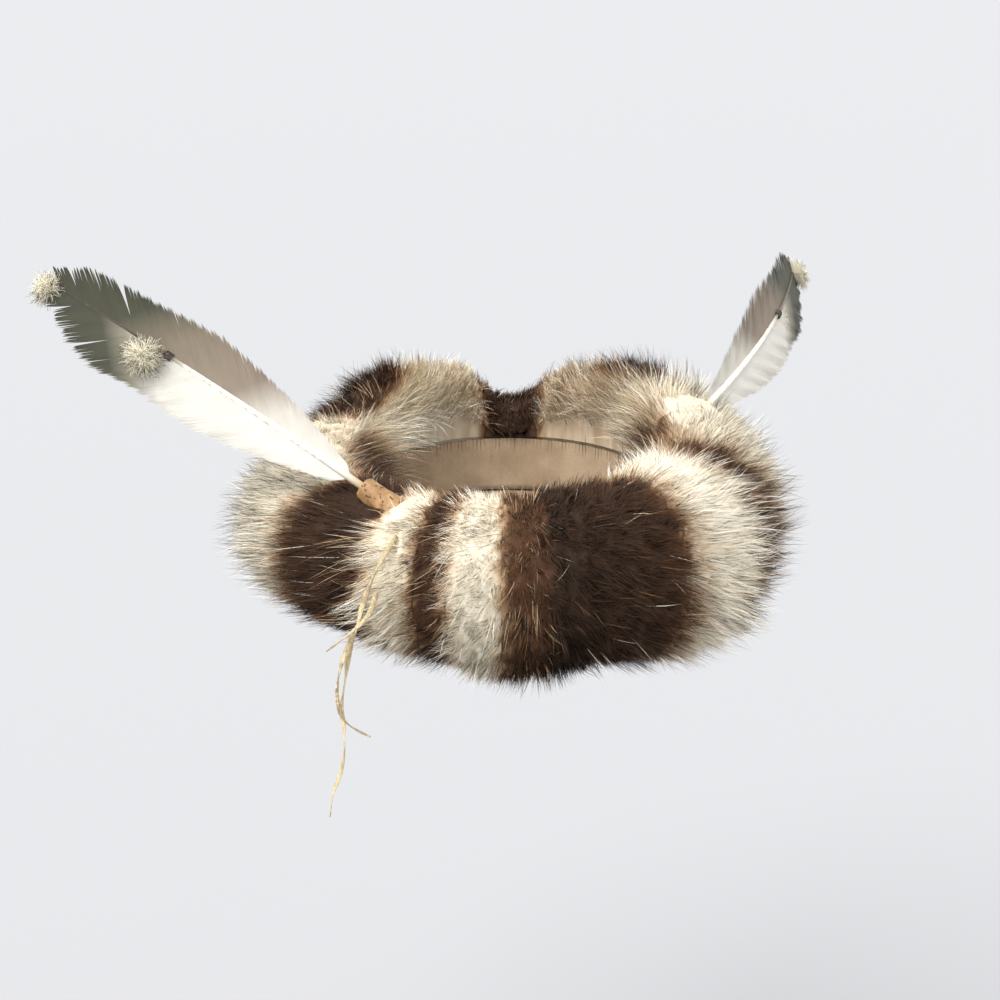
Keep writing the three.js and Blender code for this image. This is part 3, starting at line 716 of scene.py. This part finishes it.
def grow(layer, count, start, span, form, draw):
    """One layer of hair over a strip, each hair bent from its root towards its lock's lean."""
    ring = start + span * draw.random(count)
    section = rows_by_tip_length(draw.random(count))
    locks = max(4, round(span * DEGREE_ROUND * COAT_OVER / form["lock"] ** 2))
    lock_ring = start + span * draw.random(locks)
    lock_section = rows_by_tip_length(draw.random(locks))
    near = np.argmin(
        ((ring[:, None] - lock_ring[None]) * MM_ROUND) ** 2
        + ((section[:, None] - lock_section[None]) * MM_OVER) ** 2, axis=1)
    gather = form["gather"] * draw.random(count) ** 0.5
    lock_lean = draw.normal(0, form["stray_round"], locks)
    lock_lift = draw.normal(0, form["stray_over"], locks)
    lock_long = draw.normal(0, form["length_varies"], locks)
    tip_ring = (
        ring + gather * (lock_ring[near] - ring) + form["lean"] * lean_at(ring)
        + lock_lean[near] + draw.normal(0, form["stray_round"] * 0.5, count)
    )
    tip_section = (
        section + gather * (lock_section[near] - section)
        + lock_lift[near] + draw.normal(0, form["stray_over"] * 0.5, count)
    )
    share = form["reach"] * (
        1 + lock_long[near] + draw.normal(0, form["length_varies"], count)
        + REACH_SWELL * swell(ring, section, 1.0)
    )
    share = np.minimum(share, LONGEST_SHARE)
    root = fur_point(ring, section, form["root"])
    bend = fur_point(
        ring + BEND_TURN * (tip_ring - ring), section + BEND_TURN * (tip_section - section),
        form["root"] + BEND_AT * (share - form["root"]),
    )
    tip = fur_point(tip_ring, tip_section, share)
    over = form["falls_in"] * fur_form(tip_ring)[3] * draw.random(count) ** 0.6 * np.interp(
        section, OVERHANG_SECTIONS, (0, 1))
    radial = np.radians(tip_ring)
    inwards = -np.stack([np.cos(radial), np.sin(radial), np.zeros(count)], axis=-1)
    tip += over[:, None] * inwards
    bend += BEND_IN * over[:, None] * inwards
    long = np.linalg.norm(tip - root, axis=1)
    tip[:, 2] -= form["droop"] * long * (0.5 + draw.random(count))
    levels = np.linspace(0, 1, form["levels"] + 1)
    t = levels[None, :, None]
    points = (
        root[:, None] * (1 - t) ** 2 + bend[:, None] * 2 * t * (1 - t) + tip[:, None] * t ** 2
    )
    heading = tip - root
    outwards = unit(fur_point(ring, section, 1.0) - fur_point(ring, section, 0.0))
    facing = outwards + form["turned"] * draw.normal(0, 1, (count, 3))
    sides = unit(np.cross(heading, facing))
    widths = form["width"] * (0.75 + 0.5 * draw.random(count))[:, None] * (
        1 - HAIR_TAPER * levels[None])
    if layer == "under":
        places = tone_across(ring, section, draw)
    else:
        places = kind_across(guard_kinds(ring, section, draw), draw)
    # Root to tip on the map: the guard hairs' change of colour, and the underfur's painted shade,
    # darker at the root.
    along = form["root"] + (1 - form["root"]) * levels
    along = np.tile(along * 0.98 + 0.01, (count, 1))
    across = np.repeat(places[:, None], len(levels), axis=1)
    kept = clear_of_sockets(points, draw)
    return strands_mesh(
        layer, points[kept], widths[kept], sides[kept][:, None], across[kept], along[kept],
        HAIR_ON_MAP)


def ring_angle(points, out):
    """Direction round the ring, in degrees, of points about that far out from the opening."""
    return np.degrees(np.arctan2(
        points[:, 1] / (OPENING_HALF_DEPTH + out), points[:, 0] / (OPENING_HALF_WIDTH + out)))


def coat_outwards(points):
    """The direction away from the band's middle line at each point."""
    ring = ring_angle(points, FUR_MIDDLE)
    core = ring_point(ring, BAND_THICKNESS / 2, BAND_MIDDLE)
    return unit(points - core)


def soften(mesh, outwards, softness):
    """Turns the shading of hairs towards the coat's own, as light does that passes through.

    The softness is one number, or a column of one for each vertex."""
    count = len(mesh.vertices)
    points = np.empty(3 * count, np.float32)
    mesh.vertices.foreach_get("co", points)
    own = np.empty(3 * count, np.float32)
    mesh.vertices.foreach_get("normal", own)
    away = outwards(points.reshape(-1, 3).astype(float))
    own = own.reshape(-1, 3).astype(float)
    own *= np.where((own * away).sum(axis=1, keepdims=True) < 0, -1, 1)
    mesh.normals_split_custom_set_from_vertices(unit(softness * away + (1 - softness) * own))


SOFTNESS = {"under": 0.7, "guard": 0.25}
SKIN_SOFTNESS = 0.2
PARTED = 0.0115                      # how near a socket hair is combed away
PARTED_LENGTH = 0.024
STRAYS = 0.08                        # share of the hair that still crosses a socket


def clear_of_sockets(points, draw):
    """Leaves out the hairs that would cover a socket, but for a few strays."""
    crosses = np.zeros(len(points), bool)
    for feather in feathers.values():
        mouth = feather.point(-0.001, 0.0, 0.0)
        end = feather.point(-PARTED_LENGTH, 0.0, 0.0)
        along = end - mouth
        share = np.clip((points - mouth) @ along / along.dot(along), 0, 1)
        away = np.linalg.norm(points - mouth - share[..., None] * along, axis=-1)
        crosses |= away.min(axis=1) < PARTED
    return ~crosses | (draw.random(len(points)) < STRAYS)


UNDERFUR = {
    "root": 0.66, "reach": 0.98, "levels": 2, "width": 0.00034, "gather": 0.35,
    "lock": 0.0065, "stray_round": 0.7, "stray_over": 3.5, "length_varies": 0.035,
    "lean": 0.35, "droop": 0.04, "turned": 0.35, "falls_in": 0.6,
}
GUARD_HAIR = {
    "root": 0.5, "reach": 1.08, "levels": 4, "width": 0.00024, "gather": 0.55,
    "lock": 0.0095, "stray_round": 1.8, "stray_over": 8, "length_varies": 0.075,
    "lean": 1.3, "droop": 0.06, "turned": 0.5, "falls_in": 1.0,
}


def skin_solid(bm, start, span, draw):
    """The matted body of the underfur: one section of it, extruded round the strip."""
    steps = max(2, round(span / SKIN_STEP))
    rows = np.linspace(FUR_FROM, FUR_TO, SKIN_ROWS)
    edge = np.minimum(1, 9 * np.minimum(rows - FUR_FROM, FUR_TO - rows) / (FUR_TO - FUR_FROM))

    def section_at(step):
        ring = np.full(rows.shape, start + span * step / steps)
        tuft = 0.04 * swell(ring, rows, 1.0) + draw.normal(0, 0.02, rows.shape)
        hair = fur_point(ring, rows, SKIN_SHARE * edge ** 0.6 * (1 + tuft) + 0.02)
        hide = ring_point(ring, *band_outline(ring, rows, 0.0006))[::-1]
        return np.concatenate([hair, hide[::3]])

    face = bm.faces.new([bm.verts.new(p) for p in section_at(0)])
    for step in range(1, steps + 1):
        made = bmesh.ops.extrude_face_region(bm, geom=[face])["geom"]
        face = next(f for f in made if isinstance(f, bmesh.types.BMFace))
        for vert, place in zip(face.verts, section_at(step)):
            vert.co = place
    bmesh.ops.recalc_face_normals(bm, faces=bm.faces)


def paint_skin(bm, draw):
    """Gives the matted underfur its place on the map, by its tone at each vertex, and a painted shade
    that darkens it, most on its inner side.
    """
    uv = bm.loops.layers.uv.new(COAT_MAP)
    places = np.array([vert.co for vert in bm.verts])
    ring = ring_angle(places, COAT_DEPTH)
    out = np.hypot(places[:, 0] / OPENING_HALF_WIDTH, places[:, 1] / OPENING_HALF_DEPTH)
    section = np.interp(out, (1.0, 1.12), (120, 60))
    across = tone_across(ring, section, draw)
    # Painted shade: lower values darken the matted body, most where it faces in over the opening.
    shade = np.interp(section, (60, 120), (0.5, 0.1)) + draw.normal(0, 0.04, len(places))
    bm.verts.index_update()
    for face in bm.faces:
        for loop in face.loops:
            loop[uv].uv = (across[loop.vert.index], shade[loop.vert.index])


def fur_material():
    shader = Shader("fur")
    across, along = shader.uv(COAT_MAP)
    columns = [(i / COAT_COLUMNS, HAIR[kind]) for i, kind in enumerate(HAIR_KINDS)]
    root, tip, change = (
        shader.colours_at(across, [(at, kind[key]) for at, kind in columns], steps=True)
        for key in ("root", "tip", "change"))
    tone = (across * COAT_COLUMNS).fraction()
    share = ((along - change) * 5).ramp(-1, 1)
    guard = shader.mix(share, root, tip)
    guard = shader.scaled(guard, 0.84 + tone * 0.3)
    under = shader.colours_at(
        (tone - TONE_MARGIN) * (1 / (1 - 2 * TONE_MARGIN)), UNDERFUR_TONES)
    # Painted shade: the underfur darkens towards its roots, and the matted body towards its inner
    # side, by the along coordinate.
    under = shader.scaled(under, 0.60 + along * 0.45)
    is_under = across.math("GREATER_THAN", len(HAIR_KINDS) / COAT_COLUMNS)
    colour = shader.mix(is_under, guard, under)
    return shader.finish(Base_Color=colour, Roughness=0.7, Specular_IOR_Level=0.15)


coat_material = fur_material()
for index, pelt in enumerate(PELTS):
    draw = np.random.default_rng(100 + index)
    start = pelt["from"]
    span = (PELTS[(index + 1) % len(PELTS)]["from"] - start) % 360
    bm = bmesh.new()
    skin_solid(bm, start, span, draw)
    paint_skin(bm, draw)
    softness = [np.full(len(bm.verts), SKIN_SOFTNESS)]
    for layer, form, density in (
        ("under", UNDERFUR, UNDERFUR_A_DEGREE), ("guard", GUARD_HAIR, GUARD_HAIRS_A_DEGREE),
    ):
        hairs = grow(layer, round(span * density), start, span, form, draw)
        softness.append(np.full(len(hairs.vertices), SOFTNESS[layer]))
        take_in(bm, hairs)
    mesh = bpy.data.meshes.new(pelt["name"])
    bm.to_mesh(mesh)
    bm.free()
    soften(mesh, coat_outwards, np.concatenate(softness)[:, None])
    add_piece(pelt["name"] + "_hair", mesh, coat_material, pelt["slot"], pelt["name"])

# ---------------------------------------------------------------------------- sockets
# Two tubes of bone, sawn off and hollowed, sewn into the fur. Each holds a quill. They are
# old, golden brown, pitted along the grain, and worn and nicked at the mouth.
BORE_RADIUS = 0.0031
SOCKET_PROFILE = table("depth radius", [  # outside radius by the depth from the mouth
    (-0.0015, 0.0060),
    (-0.0008, 0.0065),
    (0.0020, 0.0067),
    (0.0070, 0.0068),
    (0.0120, 0.0069),
    (0.0180, 0.0071),
    (0.0260, 0.0074),
    (0.0285, 0.0069),
    (0.0300, 0.0057),
])
SOCKET_SIDES = 64
SOCKET_STEP = 0.0008                 # between two rings of the bone's outside
BONE_LIGHT = (0.44, 0.25, 0.10)
BONE_MIDDLE = (0.27, 0.145, 0.055)
BONE_DARK = (0.05, 0.025, 0.010)


def bone_material():
    shader = Shader("bone")
    point = shader.object_point()
    blotch = shader.noise(point, 160, 4)
    grain = shader.noise(point, 900, 4, 0.6)
    pits = shader.noise(point, 420, 2, 0.4)
    pitted = pits.ramp(0.60, 0.68)
    colour = shader.mix(blotch.ramp(0.35, 0.65), BONE_MIDDLE, BONE_LIGHT)
    colour = shader.scaled(colour, 0.8 + grain * 0.4)
    colour = shader.mix(pitted * 0.85, colour, BONE_DARK)
    return shader.finish(
        Base_Color=colour, Roughness=0.42 + grain * 0.25,
        Normal=shader.bump(grain * 0.25 - pitted, 0.0005),
    )


def socket_mesh(place, seed):
    bm = bmesh.new()
    first, last = SOCKET_PROFILE[0], SOCKET_PROFILE[-1]
    corners = [(BORE_RADIUS, first["depth"])]
    for a, b in zip(SOCKET_PROFILE, SOCKET_PROFILE[1:]):
        parts = max(1, round((b["depth"] - a["depth"]) / SOCKET_STEP))
        for i in range(parts):
            t = i / parts
            corners.append((
                a["radius"] + t * (b["radius"] - a["radius"]),
                a["depth"] + t * (b["depth"] - a["depth"])))
    corners += [(last["radius"], last["depth"]), (BORE_RADIUS, last["depth"])]
    verts = [bm.verts.new((radius, 0, depth)) for radius, depth in corners]
    edges = [bm.edges.new(pair) for pair in zip(verts, [*verts[1:], verts[0]])]
    bmesh.ops.spin(
        bm, geom=[*verts, *edges], axis=(0, 0, 1), cent=(0, 0, 0), angle=2 * math.pi,
        steps=SOCKET_SIDES, use_merge=True,
    )
    bmesh.ops.remove_doubles(bm, verts=bm.verts, dist=1e-7)
    for vert in bm.verts:
        x, y, depth = vert.co
        radius = math.hypot(x, y)
        if radius < BORE_RADIUS * 1.05:
            continue
        angle = math.atan2(y, x) + seed
        worn = (
            0.00022 * math.sin(3 * angle + 260 * depth)
            + 0.00012 * math.sin(7 * angle - 410 * depth))
        scale = (radius - 0.0002 + worn) / radius
        vert.co.x, vert.co.y = x * scale, y * scale
        if depth < 0.002:
            nick = max(0, math.cos(angle - 1.0)) ** 24 + 0.35 * max(0, math.sin(5 * angle)) ** 3
            vert.co.z += 0.0013 * nick * min(1, (0.002 - depth) / 0.003)
    bmesh.ops.recalc_face_normals(bm, faces=bm.faces)
    bmesh.ops.transform(bm, matrix=place, verts=bm.verts)
    return mesh_from("socket", bm)


bone = bone_material()
for seed, (side, feather) in enumerate(feathers.items()):
    mesh = socket_mesh(feather.socket_place(), 2.1 * seed)
    add_piece(f"socket_{side}_bone", mesh, bone, "bone", f"socket_{side}")

# --------------------------------------------------------------------------- feathers
# One wing feather each side: a pale shaft with barbs set close along both sides. They hook
# into a smooth vane, and have parted in places into locks with frayed and curled ends.
QUILL_RADIUS = 0.00235
SHAFT_TIP_RADIUS = 0.0005
SHAFT_STEPS = 120
SHAFT_SIDES = 12
SHAFT_COLOURS = [                    # from the quill's end to the tip
    (0.0, (0.42, 0.29, 0.15)), (0.10, (0.60, 0.47, 0.30)), (0.16, (0.86, 0.82, 0.72)),
    (0.60, (0.78, 0.73, 0.62)), (0.66, (0.16, 0.12, 0.08)), (1.0, (0.07, 0.05, 0.035)),
]
VANE_FROM = 0.010
VANE_TO = 0.192
VANES = table("at upper lower", [
    (0.008, 0.005, 0.007),
    (0.025, 0.012, 0.015),
    (0.042, 0.018, 0.022),
    (0.062, 0.022, 0.026),
    (0.080, 0.025, 0.027),
    (0.105, 0.023, 0.025),
    (0.125, 0.021, 0.028),
    (0.145, 0.020, 0.024),
    (0.165, 0.018, 0.017),
    (0.190, 0.008, 0.007),
])
BARB_SWEEP = 1.1                     # how far a barb runs forwards for each metre outwards
BARBS_PAST_TIP = 0.004
BARB_PITCH = 0.00026
BARB_WIDTH = 0.00058
BARB_LEVELS = 8
TUFT_PITCH = 0.0034                  # between the small locks along a vane's edge
TUFT_GATHER = 0.0011                 # how far the ends of a lock's barbs draw together
PARTING_SPREAD = 0.006               # along the shaft, of the barbs that a parting pushes
CURL_SPREAD = 0.0025                 # and of those that curl forwards beside it
CURL_OF_GAP = 0.35
# Where a vane has parted: the place along the shaft, and how wide the gap is at the edge.
PARTINGS = {
    "upper": [(0.1465, 0.0045), (0.180, 0.003), (0.112, 0.001), (0.070, 0.0008), (0.163, 0.0015)],
    "lower": [(0.1465, 0.0032), (0.177, 0.0045), (0.1313, 0.0012), (0.0975, 0.0015),
              (0.056, 0.001), (0.162, 0.0018)],
}
# Colours of each vane from the quill's end to the tip.
VANE_COLOURS = {
    "upper": [(0.0, (0.66, 0.63, 0.57)), (0.28, (0.58, 0.54, 0.47)), (0.40, (0.25, 0.20, 0.15)),
              (0.60, (0.22, 0.175, 0.125)), (0.68, (0.14, 0.12, 0.085)), (0.74, (0.062, 0.062, 0.038)),
              (1.0, (0.055, 0.055, 0.033))],
    "lower": [(0.0, (0.70, 0.67, 0.61)), (0.62, (0.66, 0.63, 0.56)), (0.70, (0.26, 0.24, 0.18)),
              (0.77, (0.065, 0.065, 0.041)), (1.0, (0.05, 0.05, 0.031))],
}


def vane_width(along, side):
    at = [row["at"] for row in VANES]
    return np.interp(along, at, [row[side] for row in VANES])


def barbs_mesh(feather, side, draw):
    """Every barb of one vane, each a narrow strip from the shaft to the vane's edge."""
    sign = 1 if side == "upper" else -1
    count = round((VANE_TO - VANE_FROM) / BARB_PITCH)
    root = np.linspace(VANE_FROM, VANE_TO, count)
    width = vane_width(root, side) * (
        1 + 0.025 * np.sin(root * 900) + 0.02 * np.sin(root * 2300 + 1)
        + draw.normal(0, 0.012, count))
    run = np.minimum(BARB_SWEEP * width, FEATHER_LENGTH + BARBS_PAST_TIP - root)
    parting = np.zeros(count)
    curl = np.zeros(count)
    for place, gap in PARTINGS[side]:
        away = root - place
        near = np.exp(-np.abs(away) / PARTING_SPREAD)
        parting += np.sign(away) * gap / 2 * near
        curled = np.exp(-np.abs(away) / CURL_SPREAD)
        curl += np.where(away > 0, 1, -0.4) * gap * CURL_OF_GAP * curled
    tuft = root / TUFT_PITCH + 0.3 * np.sin(root * 500)
    inside_tuft = tuft - np.floor(tuft) - 0.5
    edge = np.clip((root - 0.1) / 0.06, 0.25, 1)
    parting -= inside_tuft * TUFT_GATHER * edge
    t = np.linspace(0, 1, BARB_LEVELS + 1)[None]
    along = root[:, None] + run[:, None] * t ** 1.12 + parting[:, None] * t ** 2.2
    out = width[:, None] * t * (1 - 0.03 * np.abs(inside_tuft)[:, None] * t)
    wave = 0.0006 * np.sin(root * 420 + 1.0)[:, None] * t ** 2
    front = wave + (curl[:, None] + draw.normal(0, 0.00018, count)[:, None]) * t ** 3
    front = front + draw.normal(0, 0.00004, count)[:, None] * t + 0.0006 * (1 - t) ** 8
    points = feather.point(along, sign * out, front)
    ahead = np.diff(points, axis=1)
    sides = unit(np.cross(ahead, feather.z))
    taper = 1 - 0.35 * t - 0.45 * np.clip((t - 0.85) / 0.15, 0, 1)
    widths = BARB_WIDTH * taper * (0.9 + 0.2 * draw.random(count))[:, None]
    across = along / (FEATHER_LENGTH + 2 * BARBS_PAST_TIP)
    up = 0.5 + sign * (0.02 + 0.44 * t * (width / width.max())[:, None])
    return strands_mesh(
        side, points, widths, sides, across, up, BARB_PITCH / FEATHER_LENGTH)


def feather_material():
    shader = Shader("feather")
    along, across = shader.uv(COAT_MAP)
    out = (across - 0.5).absolute() * 2
    upper = (across - 0.5).ramp(-0.002, 0.002)
    colours = {
        side: shader.colours_at(along + (0.10 if side == "upper" else 0.14) * (out - 0.3), stops)
        for side, stops in VANE_COLOURS.items()
    }
    colour = shader.mix(upper, colours["lower"], colours["upper"])
    barb = along - out * 0.16
    streak = shader.noise(shader.joined(barb * 420, out * 3), 1, 3, 0.6)
    patch = shader.noise(shader.joined(barb * 26, out * 2.2), 1, 3, 0.5)
    colour = shader.scaled(colour, 0.80 + streak * 0.26 + (patch - 0.5) * 0.3)
    edge = out.ramp(0.72, 0.98) * along.ramp(0.25, 0.6) * patch
    colour = shader.mix(edge * 0.7, colour, (0.33, 0.31, 0.20))
    return shader.finish(Base_Color=colour, Roughness=0.55, Specular_IOR_Level=0.35)


def shaft_material():
    shader = Shader("shaft")
    along, across = shader.uv(COAT_MAP)
    streak = shader.noise(shader.joined(along * 40, across * 14), 1, 3)
    colour = shader.colours_at(along, SHAFT_COLOURS)
    colour = shader.scaled(colour, 0.78 + streak * 0.4)
    return shader.finish(Base_Color=colour, Roughness=0.38)


def shaft_mesh(feather):
    bm = bmesh.new()
    alongs = np.linspace(-SOCKET_OVER_QUILL, FEATHER_LENGTH - 0.003, SHAFT_STEPS)
    route = [Vector(p) for p in feather.point(alongs, 0 * alongs, 0 * alongs)]

    def half_sizes(share):
        radius = QUILL_RADIUS + (SHAFT_TIP_RADIUS - QUILL_RADIUS) * share
        return radius * 0.94, radius * 0.94

    add_strand(bm, ring_places(route, half_sizes, 0), SHAFT_SIDES)
    uv = bm.loops.layers.uv.new(COAT_MAP)
    start, end = Vector(route[0]), Vector(route[-1])
    run = end - start
    for face in bm.faces:
        for loop in face.loops:
            share = (loop.vert.co - start).dot(run) / run.length_squared
            turn = sum((loop.vert.co - face.calc_center_median()).dot(Vector(axis))
                       for axis in (feather.y, feather.z))
            loop[uv].uv = (0.01 + 0.97 * share, 0.5 + 80 * turn)
    return mesh_from("shaft", bm)


vane_finish = feather_material()
shaft_finish = shaft_material()
for index, (side, feather) in enumerate(feathers.items()):
    draw = np.random.default_rng(300 + index)
    bm = bmesh.new()
    for vane in ("upper", "lower"):
        take_in(bm, barbs_mesh(feather, vane, draw))
    mesh = mesh_from("vane", bm)
    facing = feather.z
    soften(mesh, lambda points: np.tile(facing, (len(points), 1)), 0.35)
    add_piece(f"feather_{side}_vanes", mesh, vane_finish, "feather", f"feather_{side}")
    add_piece(f"feather_{side}_shaft", shaft_mesh(feather), shaft_finish, "feather")

# ------------------------------------------------------------------------- down tufts
# Soft down tied to each feather: a ball at the middle, held by the thread, and another
# behind the tip. Every strand curls its own way.
DOWN_TUFTS = [
    {"name": "down_middle", "along": 0.136, "out": -0.007, "front": 0.005,
     "half": (0.013, 0.012, 0.007)},
    {"name": "down_tip", "along": 0.197, "out": -0.004, "front": -0.002,
     "half": (0.009, 0.011, 0.007)},
]
DOWN_STRANDS = 2600


def down_mesh(feather, tuft, draw):
    count = DOWN_STRANDS
    direction = unit(draw.normal(0, 1, (count, 3)))
    reach = 0.55 + 0.55 * draw.random(count) ** 2
    middle = np.array([tuft["along"], tuft["out"], tuft["front"]])
    t = np.linspace(0, 1, 5)[None, :, None]
    curl = draw.normal(0, 0.35, (count, 1, 3)) * np.sin(math.pi * t)
    local = (0.1 + 0.9 * t) * (direction * reach[:, None])[:, None] + curl * t
    places = middle + local * np.array(tuft["half"])
    points = feather.point(places[..., 0], places[..., 1], places[..., 2])
    facing = points[:, -1] - feather.point(*middle)
    facing = unit(facing) + 0.4 * draw.normal(0, 1, (count, 3)) + (0, -0.8, 0.3)
    sides = unit(np.cross(points[:, -1] - points[:, 0], facing))
    widths = np.full((count, 5), 0.00012)
    kinds = np.full(count, HAIR_KINDS.index("down"))
    across = np.repeat(kind_across(kinds, draw)[:, None], 5, axis=1)
    along = np.tile(np.linspace(0.05, 0.95, 5), (count, 1))
    return strands_mesh("down", points, widths, sides[:, None], across, along, HAIR_ON_MAP)


for index, (side, feather) in enumerate(feathers.items()):
    for tuft in DOWN_TUFTS:
        draw = np.random.default_rng(500 + 10 * index + len(tuft["name"]))
        mesh = down_mesh(feather, tuft, draw)
        middle = feather.point(tuft["along"], tuft["out"], tuft["front"])
        soften(mesh, lambda points: unit(points - middle), 0.35)
        name = f"{tuft['name']}_{side}"
        add_piece(name + "_strands", mesh, coat_material, "down", name)

# ----------------------------------------------------------------------- thread wraps
# Dark waxed thread, wound tightly round the shaft over the root of the middle tuft.
WRAP_AT = 0.123
WRAP_LENGTH = 0.005
WRAP_TURNS = 8
THREAD_RADIUS = 0.00034
THREAD_COLOUR = (0.030, 0.024, 0.019)


def thread_material():
    shader = Shader("thread")
    ply = shader.noise(shader.object_point(), 2600, 2)
    colour = shader.mix(ply, THREAD_COLOUR, (0.09, 0.07, 0.05))
    return shader.finish(Base_Color=colour, Roughness=0.7, Normal=shader.bump(ply, 0.0001))


thread = thread_material()
for side, feather in feathers.items():
    turns = np.linspace(0, 1, 18 * WRAP_TURNS)
    angle = 2 * math.pi * WRAP_TURNS * turns
    along = WRAP_AT + THREAD_RADIUS + (WRAP_LENGTH - 2 * THREAD_RADIUS) * turns
    radius = 0.0021
    out = radius * np.cos(angle)
    route = [Vector(p) for p in feather.point(along, out, radius * np.sin(angle))]
    bm = bmesh.new()
    add_strand(bm, ring_places(route, lambda share: (THREAD_RADIUS, THREAD_RADIUS), 0), 7)
    mesh = mesh_from("thread", bm)
    add_piece(f"wrap_{side}_thread", mesh, thread, "thread", f"wrap_{side}")

# ------------------------------------------------------------------------------ stage
# A pale floor well below the headdress, and broad soft light from above and the left.
FLOOR_HEIGHT = -0.5
FLOOR_RADIUS = 40

bm = bmesh.new()
bmesh.ops.create_circle(bm, cap_ends=True, segments=96, radius=FLOOR_RADIUS)
bmesh.ops.translate(bm, vec=(0, 0, FLOOR_HEIGHT), verts=bm.verts)
floor = bpy.data.objects.new("floor", mesh_from("floor", bm))
bpy.context.scene.collection.objects.link(floor)
floor_shader = Shader("floor")
floor.data.materials.append(floor_shader.finish(Base_Color=(0.40, 0.401, 0.407), Roughness=0.9))

world = bpy.data.worlds.new("studio")
world.use_nodes = True
world.node_tree.nodes["Background"].inputs["Color"].default_value = (0.97, 0.98, 1, 1)
world.node_tree.nodes["Background"].inputs["Strength"].default_value = 1.3
bpy.context.scene.world = world

sun_data = bpy.data.lights.new("key", "SUN")
sun_data.energy = 3.2
sun_data.angle = math.radians(35)
sun = bpy.data.objects.new("key", sun_data)
sun.rotation_euler = (math.radians(38), math.radians(-28), 0)
bpy.context.scene.collection.objects.link(sun)
bpy.context.scene.view_settings.view_transform = "Standard"
